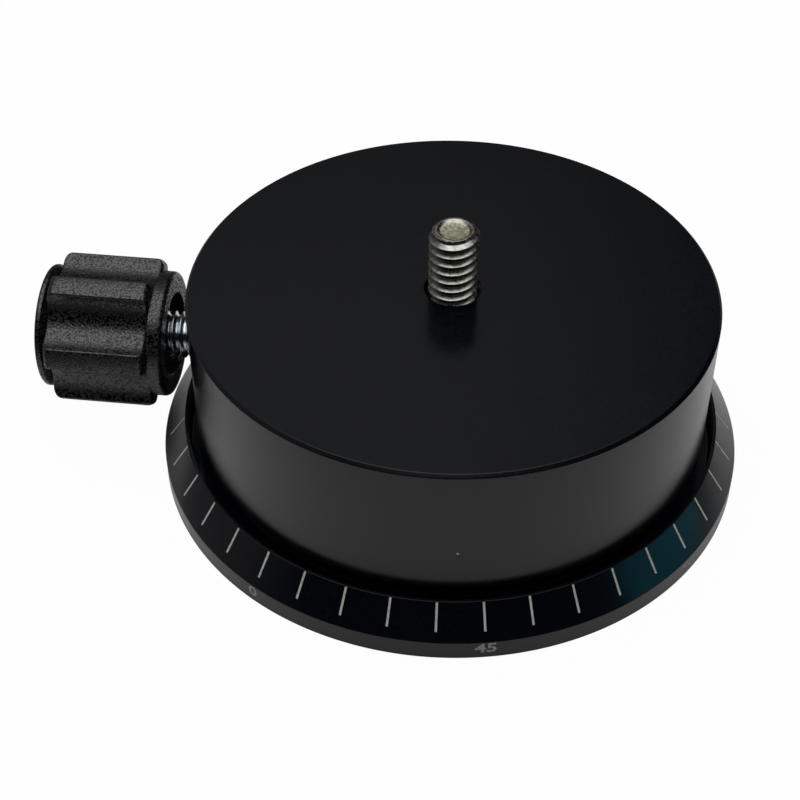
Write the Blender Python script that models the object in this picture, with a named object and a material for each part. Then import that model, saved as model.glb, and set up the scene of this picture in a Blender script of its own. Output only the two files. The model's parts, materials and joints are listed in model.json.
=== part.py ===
"""Panoramic rotator: a round drum that pans on a graduated base and is locked by a side knob.

Metres, +Z up. The origin is on the surface that the base stands on, under the middle of the
whole outline. The drum turns about a vertical axis at X = axis_x, and the lock knob points
along -X. Heights are worked out upwards from the underside of the base, and distances along
the knob outwards from the turning axis.
"""

import math

import bmesh
import bpy
from mathutils import Matrix, Vector

# Clearances that all pieces share
gap = 0.0003
running_gap = 0.0005
overrun = 0.001

# Drum, the part that the camera stands on
drum_radius = 0.033
drum_edge = 0.0004
drum_lower_edge = 0.0002
top_thickness = 0.0033
skirt_undercut = 0.0015
skirt_clearance = 0.001
boss_wall = 0.0035
boss_clearance = 0.0006

# Camera stud with its 1/4 inch thread
stud_radius = 0.003175
stud_pitch = 0.00127
stud_length = 0.0159
stud_reach = 0.0089
stud_cup_radius = 0.0021
stud_cup_depth = 0.0004
stud_cup_floor_share = 0.8
stud_socket = 0.0018
stud_socket_depth = 0.0025
stud_countersink = 0.0004

# Graduated base, a shallow dish around the drum's skirt
groove_width = 0.0016
bevel_run = 0.0029
rim_height = 0.0027
rim_edge = 0.0001
lip_height = 0.0067
lip_width = 0.0004
wall_clearance = 0.00056
floor_thickness = 0.003

# Tripod bush with its 3/8 inch thread, screwed into the base from below
tripod_thread_radius = 0.0047625
tripod_thread_pitch = 0.0015875
bush_wall = 0.0014
bush_length = 0.0098
bush_inset = 0.0002
bush_flange_width = 0.00085
bush_flange_thickness = 0.0012

# Grub screw that keys the flange of the bush to the base
grub_radius = 0.0015
grub_length = 0.002
grub_socket = 0.0009
grub_socket_depth_share = 0.5
grub_azimuth = math.radians(90)

# Countersunk screws through the base into the spindle
spindle_screw_count = 3
spindle_screw_radius = 0.0015
spindle_screw_head = 0.0028
spindle_screw_cone = 0.0014
spindle_screw_length = 0.008
spindle_screw_inset = 0.0002
spindle_screw_margin = 0.0005
spindle_screw_socket = 0.00115
spindle_screw_azimuth = math.radians(30)

# Spindle, fixed to the base: a neck, and a head with the lock groove around its rim
neck_wall = 0.0011
head_ledge = 0.0052
web_thickness = 0.0017
lock_groove_rise = 0.0055
lock_groove_depth = 0.0014
lock_groove_floor = 0.0005
lock_groove_land = 0.0006

# Ring under the head that keeps the drum on the spindle, and its screws
ring_clearance = 0.0014
ring_thickness = 0.0022
ring_margin = 0.0005
ring_screw_count = 4
ring_screw_radius = 0.00125
ring_screw_head = 0.0023
ring_screw_cone = 0.0011
ring_screw_length = 0.008
ring_screw_wall = 0.0012
ring_screw_socket = 0.00085
ring_screw_azimuth = math.radians(45)

# Wave washer and glide disc between the ring and the head
wave_washer_thickness = 0.0003
wave_washer_rise = 0.0007
wave_count = 3
glide_disc_thickness = 0.0006
disc_inset = 0.0004

# Sleeve around the boss, and the ball thrust bearing between the head and the drum
sleeve_wall = 0.0014
race_inset = 0.0006
race_width = 0.008
race_thickness = 0.0008
ball_radius = 0.0012
ball_count = 12
cage_thickness = 0.0012
cage_inset = 0.0006

# Lock screw, the shoe that it presses on the spindle, and its travel
lock_screw_radius = 0.003
lock_screw_pitch = 0.001
lock_head_corner = 0.00577
lock_head_thickness = 0.004
shoe_radius = 0.0025
shoe_length = 0.0063
shoe_edge = 0.0003
tightening_travel = 0.00025

# Knob grip and cap
knob_standoff = 0.003
knob_length = 0.0163
pocket_wall = 0.00103
collar_rise = 0.001
collar_width = 0.0019
collar_edge = 0.0006
neck_depth = 0.0006
ridge_count = 6
ridge_rise = 0.00246
ridge_width = 0.0027
ridge_phase = math.radians(-16.7)
ridge_inner_round = 0.001
ridge_outer_chamfer = 0.0009
ridge_outer_drop = 0.00145
recess_width = 0.002
recess_depth = 0.0012
cap_rise = 0.00083
cap_thickness = 0.001
cap_edge = 0.0005
cap_plug_length = 0.0012

# A thread's groove is this deep, as a share of its pitch
thread_depth_share = 0.6134

# A countersunk screw's socket goes this far into its cone, as a share of the cone
socket_depth_share = 0.8

# An angle this close to an edge counts as on it
rounding_slack = 1e-6

# Edges that bend less than this are shaded smooth
smooth_below = math.radians(30)

# How finely round pieces are divided
large_segments = 64
round_segments = 40
knob_segments = 48
thread_segments = 18
small_segments = 12
ball_rings = 5

# Radii, outwards from the turning axis: the pieces around the stud
stud_hole_radius = stud_radius + gap
boss_radius = stud_hole_radius + boss_wall
sleeve_radius = boss_radius + gap
head_bore_radius = sleeve_radius + sleeve_wall + gap

# Radii of the pieces around the tripod thread
bush_radius = tripod_thread_radius + bush_wall
bush_bore_radius = bush_radius + gap
bush_flange_radius = bush_radius + bush_flange_width
bush_flange_bore = bush_flange_radius + gap
spindle_screw_circle = bush_flange_bore + spindle_screw_margin + gap + spindle_screw_head

# Radii of the spindle and of what runs on it
neck_radius = spindle_screw_circle + spindle_screw_radius + gap + neck_wall
head_radius = neck_radius + head_ledge
disc_radius = head_radius - disc_inset
race_inner_radius = head_bore_radius + race_inset
race_outer_radius = race_inner_radius + race_width
ball_circle = (race_inner_radius + race_outer_radius) / 2
cavity_radius = head_radius + gap
ring_bore_radius = neck_radius + running_gap
ring_screw_circle = cavity_radius + ring_screw_wall + gap + ring_screw_radius
ring_radius = ring_screw_circle + ring_screw_head + gap + ring_margin
ring_seat_radius = ring_radius + gap

# Radii of the drum's skirt and of the base around it
skirt_radius = drum_radius - skirt_undercut
lip_radius = drum_radius + groove_width
base_radius = lip_radius + bevel_run

# Radii about the lock screw's axis
lock_bore_radius = lock_screw_radius + gap
shoe_bore_radius = shoe_radius + gap
lock_groove_mouth = lock_groove_floor + lock_groove_depth
recess_radius = lock_bore_radius + recess_width
flute_radius = lock_head_corner + gap + pocket_wall
ridge_radius = flute_radius + ridge_rise
collar_radius = flute_radius + collar_rise
cap_radius = flute_radius + cap_rise

# Heights, upwards from the underside of the base
wall_bottom = lip_height + wall_clearance
skirt_bottom = floor_thickness + skirt_clearance
ring_bottom = floor_thickness + ring_clearance
ring_top = ring_bottom + ring_thickness
washer_bottom = ring_top + gap
washer_top = washer_bottom + wave_washer_thickness + wave_washer_rise
disc_bottom = washer_top + gap
disc_top = disc_bottom + glide_disc_thickness
spindle_bottom = floor_thickness + gap
head_bottom = disc_top + gap
lock_height = head_bottom + lock_groove_rise
head_top = lock_height + lock_groove_mouth + lock_groove_land
lower_race_bottom = head_top + gap
lower_race_top = lower_race_bottom + race_thickness
ball_height = lower_race_top + gap + ball_radius
upper_race_bottom = ball_height + ball_radius + gap
upper_race_top = upper_race_bottom + race_thickness
ceiling = upper_race_top + gap
drum_top = ceiling + top_thickness
stud_top = drum_top + stud_reach
stud_bottom = stud_top - stud_length
bush_flange_top = bush_inset + bush_flange_thickness
bush_top = bush_inset + bush_length
bush_pocket_top = bush_top + gap
head_bore_floor = bush_pocket_top + web_thickness
boss_bottom = head_bore_floor + boss_clearance
sleeve_bottom = head_bore_floor + gap

# Distances along the knob, outwards from the turning axis
shoe_tip = head_radius - lock_groove_depth + gap
shoe_back = shoe_tip + shoe_length
lock_screw_tip = shoe_back + gap
lock_bore_step = lock_screw_tip - tightening_travel - gap
knob_face = drum_radius + knob_standoff
knob_end = knob_face + knob_length
collar_end = knob_face + collar_width
cap_back = knob_end - cap_thickness
ridge_end = cap_back - gap
plug_tip = cap_back - cap_plug_length
lock_head_back = plug_tip - gap
lock_head_front = lock_head_back - lock_head_thickness
pocket_floor = lock_head_front - gap

# The whole outline is centred on the origin, so the turning axis lies off it
axis_x = (knob_end - base_radius) / 2

# Colour, metallic value and roughness of each material
finishes = {
    "black_anodised": ((0.020, 0.020, 0.022), 0.3, 0.42),
    "black_plastic": ((0.014, 0.014, 0.015), 0.0, 0.38),
    "stainless_steel": ((0.60, 0.58, 0.55), 1.0, 0.28),
    "zinc_plate": ((0.66, 0.70, 0.74), 1.0, 0.26),
    "black_oxide_steel": ((0.035, 0.035, 0.038), 0.8, 0.40),
    "aluminium": ((0.72, 0.72, 0.73), 1.0, 0.35),
    "brass": ((0.72, 0.53, 0.25), 1.0, 0.32),
    "bronze": ((0.55, 0.36, 0.20), 1.0, 0.40),
    "bearing_steel": ((0.70, 0.70, 0.71), 1.0, 0.15),
    "spring_steel": ((0.45, 0.46, 0.48), 1.0, 0.30),
    "white_glide_plastic": ((0.85, 0.85, 0.83), 0.0, 0.50),
    "cage_nylon": ((0.62, 0.60, 0.52), 0.0, 0.55),
}


def clear_scene():
    """Remove every object of the open scene."""
    for item in list(bpy.data.objects):
        bpy.data.objects.remove(item, do_unlink=True)


def finish_material(name):
    """The Principled material of one finish, made once."""
    if name in bpy.data.materials:
        return bpy.data.materials[name]
    colour, metallic, roughness = finishes[name]
    material = bpy.data.materials.new(name)
    material.use_nodes = True
    shader = material.node_tree.nodes["Principled BSDF"]
    shader.inputs["Base Color"].default_value = (*colour, 1)
    shader.inputs["Metallic"].default_value = metallic
    shader.inputs["Roughness"].default_value = roughness
    return material


def dress(mesh, finish):
    """Give a mesh its material, and smooth shading but for its sharp edges."""
    mesh.materials.append(finish_material(finish))
    mesh.shade_smooth()
    mesh.set_sharp_from_angle(angle=smooth_below)


def axis_empty(name, place):
    """An empty that stands on a joint's axis and carries the pieces of one moving group."""
    empty = bpy.data.objects.new(name, None)
    empty.matrix_local = place
    empty.empty_display_size = base_radius
    bpy.context.scene.collection.objects.link(empty)
    return empty


def add_object(name, mesh, finish, parent):
    """Put a mesh in the scene as a named piece, or as a hidden cutter if it has no finish."""
    piece = bpy.data.objects.new(name, mesh)
    piece.parent = parent
    bpy.context.scene.collection.objects.link(piece)
    if finish is None:
        piece.hide_render = True
        piece.display_type = "WIRE"
    else:
        dress(mesh, finish)
    return piece


def at_angle(value, angle):
    """A radius or height as it is at one angle: a plain number, or a function of the angle."""
    return value(angle) if callable(value) else value


def loft(shape, sections, segments, hollow=False, move=Matrix.Identity(4)):
    """Skin rings of points about the Z axis, given as (radius, height) from one end to the other.

    A hollow shape joins its last ring to its first, and any other shape has both ends capped.
    """
    rings = []
    for radius, height in sections:
        ring = []
        for step in range(segments):
            angle = math.tau * step / segments
            r = at_angle(radius, angle)
            z = at_angle(height, angle)
            ring.append(shape.verts.new(move @ Vector((r * math.cos(angle), r * math.sin(angle), z))))
        rings.append(ring)
    pairs = list(zip(rings, rings[1:]))
    if hollow:
        pairs.append((rings[-1], rings[0]))
    for lower, upper in pairs:
        for step in range(segments):
            after = (step + 1) % segments
            shape.faces.new((lower[step], lower[after], upper[after], upper[step]))
    if not hollow:
        shape.faces.new(rings[0])
        shape.faces.new(rings[-1])


def finished_mesh(name, shape):
    """Turn the faces outwards and store the shape as a mesh."""
    bmesh.ops.recalc_face_normals(shape, faces=shape.faces)
    mesh = bpy.data.meshes.new(name)
    shape.to_mesh(mesh)
    shape.free()
    return mesh


def turned(name, sections, segments, finish, parent, hollow=False):
    """One piece made of a single skin of rings."""
    shape = bmesh.new()
    loft(shape, sections, segments, hollow)
    return add_object(name, finished_mesh(name, shape), finish, parent)


def around(count, circle, first_azimuth):
    """Placings of a pattern of equal pieces on a circle about the Z axis."""
    places = []
    for number in range(count):
        turn = Matrix.Rotation(first_azimuth + math.tau * number / count, 4, "Z")
        places.append(turn @ Matrix.Translation((circle, 0, 0)))
    return places


def hole_cutter(name, sections, places, parent):
    """One cutter with the same round hole at several places."""
    shape = bmesh.new()
    for place in places:
        loft(shape, sections, small_segments, move=place)
    return add_object(name, finished_mesh(name, shape), None, parent)


def copies(name, mesh, places, finish, parent):
    """Equal pieces that share one mesh, each standing in its own place and numbered."""
    dress(mesh, finish)
    for number, place in enumerate(places, start=1):
        piece = bpy.data.objects.new(f"{name}_{number}", mesh)
        piece.parent = parent
        piece.matrix_local = place
        bpy.context.scene.collection.objects.link(piece)


def small_copies(name, sections, places, finish, parent):
    """Equal small round pieces, such as the screws of one pattern."""
    shape = bmesh.new()
    loft(shape, sections, small_segments)
    copies(name, finished_mesh(name, shape), places, finish, parent)


def cut(piece, cutter):
    """Take a cutter's shape out of a piece."""
    modifier = piece.modifiers.new(cutter.name, "BOOLEAN")
    modifier.operation = "DIFFERENCE"
    modifier.solver = "EXACT"
    modifier.object = cutter


def hexagon(corner_radius):
    """The outline of a hexagon as a radius for each angle, given its corner radius."""

    def radius(angle):
        half_side = math.pi / 6
        within = angle % (2 * half_side) - half_side
        return corner_radius * math.cos(half_side) / math.cos(within)

    return radius


def thread_rings(radius, pitch, bottom, top):
    """Root and crest rings of a thread between two heights, ending on a root at each end."""
    turns = max(1, round((top - bottom) / pitch))
    step = (top - bottom) / turns
    root = radius - thread_depth_share * pitch
    rings = []
    for turn in range(turns):
        rings.append((root, bottom + turn * step))
        rings.append((radius, bottom + (turn + 0.5) * step))
    rings.append((root, top))
    return rings


def countersunk_screw(radius, head, cone, length, socket, bottom):
    """Rings of a countersunk socket screw that points up, with its head's face at the bottom."""
    socket_depth = cone * socket_depth_share
    head_rim = bottom + gap / 2
    return [
        (hexagon(socket), bottom + socket_depth),
        (hexagon(socket), bottom),
        (head, bottom),
        (head, head_rim),
        (radius, bottom + cone),
        (radius, bottom + length - radius / 2),
        (radius / 2, bottom + length),
    ]


def countersunk_hole(radius, head, cone, length, bottom):
    """Rings of the hole that a countersunk screw sits in, open below."""
    head_rim = bottom + gap / 2
    return [
        (head + gap, bottom - overrun),
        (head + gap, head_rim),
        (radius + gap, bottom + cone),
        (radius + gap, bottom + length + gap),
    ]


def make_base(frame):
    """The dish with the graduated bevel, bored and counterbored for the tripod bush."""
    flange_seat = bush_flange_top + gap
    inner_wall = lip_radius - lip_width
    sections = [
        (bush_bore_radius, floor_thickness),
        (inner_wall, floor_thickness),
        (inner_wall, lip_height),
        (lip_radius, lip_height),
        (base_radius, rim_height),
        (base_radius, rim_edge),
        (base_radius - rim_edge, 0),
        (bush_flange_bore, 0),
        (bush_flange_bore, flange_seat),
        (bush_bore_radius, flange_seat),
    ]
    return turned("graduated_base", sections, large_segments, "black_anodised", frame, hollow=True)


def make_tripod_bush(frame):
    """The flanged steel bush with the tripod thread through it."""
    thread = thread_rings(tripod_thread_radius, tripod_thread_pitch, bush_inset, bush_top)
    sections = thread[::-1] + [
        (bush_flange_radius, bush_inset),
        (bush_flange_radius, bush_flange_top),
        (bush_radius, bush_flange_top),
        (bush_radius, bush_top),
    ]
    return turned("tripod_bush", sections, thread_segments, "stainless_steel", frame, hollow=True)


def make_grub_screw(frame, base, bush):
    """The grub screw on the edge of the bush's flange, and the hole it shares with the base."""
    places = around(1, bush_flange_radius, grub_azimuth)
    top = bush_inset + grub_length
    sections = [
        (hexagon(grub_socket), bush_inset + grub_length * grub_socket_depth_share),
        (hexagon(grub_socket), bush_inset),
        (grub_radius, bush_inset),
        (grub_radius, top),
    ]
    hole = [(grub_radius + gap, -overrun), (grub_radius + gap, top + gap)]
    cutter = hole_cutter("grub_screw_hole", hole, places, frame)
    cut(base, cutter)
    cut(bush, cutter)
    screw = turned("bush_grub_screw", sections, small_segments, "black_oxide_steel", frame)
    screw.matrix_local = places[0]


def make_spindle(frame):
    """The fixed mushroom: a neck, and a head with the lock groove around its rim."""
    sections = [
        (head_bore_radius, head_bore_floor),
        (head_bore_radius, head_top),
        (head_radius, head_top),
        (head_radius, lock_height + lock_groove_mouth),
        (head_radius - lock_groove_depth, lock_height + lock_groove_floor),
        (head_radius - lock_groove_depth, lock_height - lock_groove_floor),
        (head_radius, lock_height - lock_groove_mouth),
        (head_radius, head_bottom),
        (neck_radius, head_bottom),
        (neck_radius, spindle_bottom),
        (bush_bore_radius, spindle_bottom),
        (bush_bore_radius, bush_pocket_top),
    ]
    return turned("spindle", sections, round_segments, "aluminium", frame)


def make_spindle_screws(frame, base, spindle):
    """The countersunk screws that hold the spindle on the base."""
    places = around(spindle_screw_count, spindle_screw_circle, spindle_screw_azimuth)
    screw = countersunk_screw(
        spindle_screw_radius, spindle_screw_head, spindle_screw_cone,
        spindle_screw_length, spindle_screw_socket, spindle_screw_inset)
    hole = countersunk_hole(
        spindle_screw_radius, spindle_screw_head, spindle_screw_cone,
        spindle_screw_length, spindle_screw_inset)
    cutter = hole_cutter("spindle_screw_holes", hole, places, frame)
    cut(base, cutter)
    cut(spindle, cutter)
    small_copies("spindle_screw", screw, places, "black_oxide_steel", frame)


def make_washer(name, inner, outer, bottom, top, finish, frame):
    """A flat ring."""
    sections = [(inner, bottom), (outer, bottom), (outer, top), (inner, top)]
    return turned(name, sections, round_segments, finish, frame, hollow=True)


def make_wave_washer(frame):
    """A thin spring ring that rises and falls a few times around its turn."""
    swing = wave_washer_rise / 2

    def bottom(angle):
        return washer_bottom + swing + swing * math.cos(wave_count * angle)

    def top(angle):
        return bottom(angle) + wave_washer_thickness

    make_washer(
        "wave_washer", ring_bore_radius, disc_radius, bottom, top, "spring_steel", frame)


def make_cage(frame):
    """The bearing's cage, with a round pocket for each ball."""
    bottom = ball_height - cage_thickness / 2
    top = ball_height + cage_thickness / 2
    cage = make_washer(
        "bearing_cage", race_inner_radius + cage_inset, race_outer_radius - cage_inset,
        bottom, top, "cage_nylon", frame)
    pocket = [(ball_radius + gap, bottom - overrun), (ball_radius + gap, top + overrun)]
    places = around(ball_count, ball_circle, 0)
    cut(cage, hole_cutter("ball_pockets", pocket, places, frame))


def make_balls(frame):
    """The bearing's balls, in the pockets of the cage."""
    shape = bmesh.new()
    bmesh.ops.create_uvsphere(
        shape, u_segments=small_segments, v_segments=ball_rings, radius=ball_radius,
        matrix=Matrix.Translation((0, 0, ball_height)))
    places = around(ball_count, ball_circle, 0)
    copies("bearing_ball", finished_mesh("bearing_ball", shape), places, "bearing_steel", frame)


def make_drum(frame):
    """The drum: a top plate with a central boss, a thick wall and a stepped skirt."""
    sections = [
        (stud_hole_radius, stud_bottom - gap),
        (stud_hole_radius, drum_top - stud_countersink),
        (stud_hole_radius + stud_countersink, drum_top),
        (drum_radius - drum_edge, drum_top),
        (drum_radius, drum_top - drum_edge),
        (drum_radius, wall_bottom + drum_lower_edge),
        (drum_radius - drum_lower_edge, wall_bottom),
        (skirt_radius, wall_bottom),
        (skirt_radius, skirt_bottom),
        (ring_seat_radius, skirt_bottom),
        (ring_seat_radius, ring_top + gap),
        (cavity_radius, ring_top + gap),
        (cavity_radius, ceiling),
        (boss_radius, ceiling),
        (boss_radius, boss_bottom),
    ]
    return turned("drum_housing", sections, large_segments, "black_anodised", frame)


def bore_for_lock(frame, drum):
    """Cut the stepped bore that the lock screw and its shoe work in."""
    sections = [
        (shoe_bore_radius, head_bore_radius),
        (shoe_bore_radius, lock_bore_step),
        (lock_bore_radius, lock_bore_step),
        (lock_bore_radius, drum_radius + overrun),
    ]
    cut(drum, turned("lock_bore", sections, thread_segments, None, frame))


def make_retaining_ring(frame, drum):
    """The ring screwed to the drum from below, and its countersunk screws."""
    sections = [
        (ring_bore_radius, ring_bottom),
        (ring_radius, ring_bottom),
        (ring_radius, ring_top),
        (ring_bore_radius, ring_top),
    ]
    ring = turned("retaining_ring", sections, round_segments, "aluminium", frame, hollow=True)
    places = around(ring_screw_count, ring_screw_circle, ring_screw_azimuth)
    screw = countersunk_screw(
        ring_screw_radius, ring_screw_head, ring_screw_cone,
        ring_screw_length, ring_screw_socket, ring_bottom)
    hole = countersunk_hole(
        ring_screw_radius, ring_screw_head, ring_screw_cone, ring_screw_length, ring_bottom)
    cutter = hole_cutter("ring_screw_holes", hole, places, frame)
    cut(ring, cutter)
    cut(drum, cutter)
    small_copies("retaining_screw", screw, places, "black_oxide_steel", frame)


def make_camera_stud(frame):
    """The threaded stud with a cup point on top and a hexagon socket in its lower end."""
    sections = [
        (hexagon(stud_socket), stud_bottom + stud_socket_depth),
        (hexagon(stud_socket), stud_bottom),
        *thread_rings(stud_radius, stud_pitch, stud_bottom, stud_top),
        (stud_cup_radius, stud_top),
        (stud_cup_radius * stud_cup_floor_share, stud_top - stud_cup_depth),
    ]
    return turned("camera_stud", sections, thread_segments, "stainless_steel", frame)


def make_shoe(frame):
    """The brass shoe, whose cone fits the groove of the spindle."""
    cone_length = shoe_radius - lock_groove_floor
    sections = [
        (lock_groove_floor, shoe_tip),
        (shoe_radius, shoe_tip + cone_length),
        (shoe_radius, shoe_back - shoe_edge),
        (shoe_radius - shoe_edge, shoe_back),
    ]
    return turned("clamp_shoe", sections, thread_segments, "brass", frame)


def make_lock_screw(frame):
    """The lock screw, threaded from its tip into the knob, with a hexagon head in the knob."""
    thread = thread_rings(
        lock_screw_radius, lock_screw_pitch, lock_screw_tip, knob_face + recess_depth)
    sections = thread + [
        (lock_screw_radius, thread[-1][1]),
        (lock_screw_radius, lock_head_front),
        (hexagon(lock_head_corner), lock_head_front),
        (hexagon(lock_head_corner), lock_head_back),
    ]
    return turned("knob_screw", sections, thread_segments, "zinc_plate", frame)


def lobed(ridge, flute):
    """The outline of the grip: flat ridges with a hollow arc between each two of them.

    The arc passes through the ridges' edges and the flute's floor, so its centre lies outside.
    """
    pitch_angle = math.tau / ridge_count
    half_ridge = ridge_width / 2 / ridge
    half_flute = pitch_angle / 2 - half_ridge
    edge_x = ridge * math.cos(half_flute)
    edge_y = ridge * math.sin(half_flute)
    centre = (edge_x ** 2 + edge_y ** 2 - flute ** 2) / (2 * (edge_x - flute))
    arc = centre - flute

    def radius(angle):
        within = angle % pitch_angle - pitch_angle / 2
        if abs(within) >= half_flute - rounding_slack:
            return ridge
        across = centre * math.sin(within)
        return centre * math.cos(within) - math.sqrt(arc ** 2 - across ** 2)

    return radius


def make_grip(frame):
    """The knob's grip: a collar, a neck, the ridges, and a pocket for the screw's head."""
    full = lobed(ridge_radius, flute_radius)
    dropped = lobed(ridge_radius - ridge_outer_drop, flute_radius)
    neck = lobed(ridge_radius - ridge_inner_round, flute_radius - neck_depth)
    pocket = hexagon(lock_head_corner + gap)
    sections = [
        (lock_bore_radius, knob_face + recess_depth),
        (recess_radius, knob_face + recess_depth),
        (recess_radius, knob_face),
        (collar_radius - collar_edge, knob_face),
        (collar_radius, knob_face + collar_edge),
        (collar_radius, collar_end),
        (neck, collar_end),
        (full, collar_end + ridge_inner_round),
        (full, ridge_end - ridge_outer_chamfer),
        (dropped, ridge_end),
        (pocket, ridge_end),
        (pocket, pocket_floor),
        (lock_bore_radius, pocket_floor),
    ]
    return turned("knob_grip", sections, knob_segments, "black_plastic", frame, hollow=True)


def make_cap(frame):
    """The disc that closes the knob's outer end, with a plug in the pocket."""
    plug_radius = lock_head_corner * math.cos(math.pi / 6)
    sections = [
        (plug_radius, plug_tip),
        (plug_radius, cap_back),
        (cap_radius, cap_back),
        (cap_radius, knob_end - cap_edge),
        (cap_radius - cap_edge, knob_end),
    ]
    return turned("knob_cap", sections, round_segments, "black_plastic", frame)


def build_base_group(frame):
    """Everything that stays still on the tripod."""
    base = make_base(frame)
    bush = make_tripod_bush(frame)
    make_grub_screw(frame, base, bush)
    spindle = make_spindle(frame)
    make_spindle_screws(frame, base, spindle)
    make_washer(
        "lower_race", race_inner_radius, race_outer_radius,
        lower_race_bottom, lower_race_top, "bearing_steel", frame)


def build_drum_group(frame, bore_frame):
    """Everything that pans with the camera."""
    drum = make_drum(frame)
    bore_for_lock(bore_frame, drum)
    make_retaining_ring(frame, drum)
    make_wave_washer(frame)
    make_washer(
        "glide_disc", ring_bore_radius, disc_radius,
        disc_bottom, disc_top, "white_glide_plastic", frame)
    make_washer(
        "upper_race", race_inner_radius, race_outer_radius,
        upper_race_bottom, upper_race_top, "bearing_steel", frame)
    make_washer(
        "sleeve_bush", sleeve_radius, sleeve_radius + sleeve_wall,
        sleeve_bottom, head_top, "bronze", frame)
    make_camera_stud(frame)


def build_bearing_group(frame):
    """The cage and balls, which go round at half the drum's turn."""
    make_cage(frame)
    make_balls(frame)


def build_knob_group(frame):
    """The knob and its screw."""
    make_lock_screw(frame)
    make_grip(frame)
    make_cap(frame)


def main():
    """Build every piece on the empty of its group."""
    clear_scene()
    turning_axis = Matrix.Translation((axis_x, 0, 0))
    outwards = Matrix.Rotation(-math.pi / 2, 4, "Y")
    lock_axis = Matrix.Translation((axis_x, 0, lock_height)) @ outwards
    lock_frame = axis_empty("lock_slide_axis", lock_axis)
    build_base_group(axis_empty("base_frame", turning_axis))
    build_drum_group(axis_empty("drum_axis", turning_axis), lock_frame)
    build_bearing_group(axis_empty("bearing_axis", turning_axis))
    make_shoe(lock_frame)
    ridge_turn = Matrix.Rotation(ridge_phase, 4, "Z")
    build_knob_group(axis_empty("knob_axis", lock_axis @ ridge_turn))


main()
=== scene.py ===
"""Panoramic rotator: the looks, built around the packed frame.

Metres, +Z up. The drum turns about an upright axis at X = axis_x, and the lock knob points
along -X. A round piece is a grid of points: rows run along a profile given as (radius, height),
and columns run round its axis. The knob's pieces are worked out upright too, as (radius,
distance from the turning axis), and then laid down along -X.
"""

import json
import math

import bpy
import numpy as np
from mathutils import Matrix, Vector


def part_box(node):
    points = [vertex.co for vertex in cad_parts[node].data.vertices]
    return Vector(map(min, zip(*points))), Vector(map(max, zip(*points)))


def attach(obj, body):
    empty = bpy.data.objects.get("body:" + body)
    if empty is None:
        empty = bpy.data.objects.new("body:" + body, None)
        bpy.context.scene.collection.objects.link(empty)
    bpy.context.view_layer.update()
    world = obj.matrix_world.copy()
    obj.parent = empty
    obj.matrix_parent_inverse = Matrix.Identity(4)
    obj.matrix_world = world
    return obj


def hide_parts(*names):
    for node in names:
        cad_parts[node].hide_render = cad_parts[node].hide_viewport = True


bl_info = {
    "name": "Panoramic Rotator",
    "version": (1, 0, 0),
    "blender": (4, 5, 0),
    "location": "3D View > Sidebar > Rotator",
    "description": "Builds a camera panning base with a graduated dish and a lock knob",
    "category": "Mesh",
}

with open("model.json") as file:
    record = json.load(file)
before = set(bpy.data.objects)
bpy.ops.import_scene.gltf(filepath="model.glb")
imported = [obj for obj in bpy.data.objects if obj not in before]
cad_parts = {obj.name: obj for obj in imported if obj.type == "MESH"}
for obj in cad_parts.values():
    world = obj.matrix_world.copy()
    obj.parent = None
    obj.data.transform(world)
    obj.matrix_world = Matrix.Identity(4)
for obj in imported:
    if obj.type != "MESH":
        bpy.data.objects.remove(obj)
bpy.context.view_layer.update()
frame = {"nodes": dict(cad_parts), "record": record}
slots = {row["node"]: row["material_slot"] for row in frame["record"]["subparts"]}
TAU = math.tau
MM = 0.001


def span(node, axis):
    """Lowest and highest value of a CAD node along one axis, where 0 to 2 are X to Z."""
    low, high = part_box(node)
    return low[axis], high[axis]


def in_mm(*values):
    """Numbers or points that are written in millimetres, as an array in metres."""
    return np.array(values, float) * MM


# Sizes that come from the frame
base_left, base_right = span("graduated_base", 0)
axis_x = (base_left + base_right) / 2
base_radius = (base_right - base_left) / 2
lip_height = span("graduated_base", 2)[1]
drum_left, drum_right = span("drum_housing", 0)
drum_radius = (drum_right - drum_left) / 2
skirt_bottom, drum_top = span("drum_housing", 2)
stud_left, stud_right = span("camera_stud", 0)
stud_radius = (stud_right - stud_left) / 2
stud_bottom, stud_top = span("camera_stud", 2)
bush_bottom, bush_top = span("tripod_bush", 2)
cap_low, cap_high = span("knob_cap", 2)
lock_height = (cap_low + cap_high) / 2
cap_radius = (cap_high - cap_low) / 2
knob_end = axis_x - span("knob_cap", 0)[0]
knob_face = axis_x - span("knob_grip", 0)[1]
grip_end = axis_x - span("knob_grip", 0)[0]
screw_tip = axis_x - span("knob_screw", 0)[1]
screw_end = axis_x - span("knob_screw", 0)[0]

# Sizes of hidden pieces and of the holes that take them, as in the solids
BUSH_BODY, BUSH_FLANGE, FLANGE_HEIGHT = in_mm(6.1625, 7.0125, 1.4)
BUSH_THREAD, BUSH_PITCH = in_mm(4.7625, 1.5875)
BUSH_GAP = 0.3 * MM
GRUB_HOLE = in_mm((1.8, -0.5), (1.8, 2.5))
GRUB_TURN = math.radians(90)
BASE_SCREWS = 3
SCREW_CIRCLE = 10.9125 * MM
SCREW_TURN = math.radians(30)
SCREW_HOLE = in_mm((3.1, -0.5), (3.1, 0.35), (1.8, 1.6), (1.8, 3.5))
RING_SEAT, RING_ROOF = in_mm(25.46, 6.9)
CAVITY_RADIUS, CAVITY_ROOF = in_mm(19.31, 22.3)
BOSS_RADIUS, BOSS_BOTTOM = in_mm(6.975, 12.6)
STUD_HOLE_FLOOR = 18.3 * MM
SHOE_HOLE, SHOE_HOLE_START, SHOE_HOLE_END = in_mm(2.8, 8.9, 23.96)
GRIP_BORE, HEAD_LENGTH = in_mm(3.3, 4.0)
PAINT_DEPTH = 0.02 * MM

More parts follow.
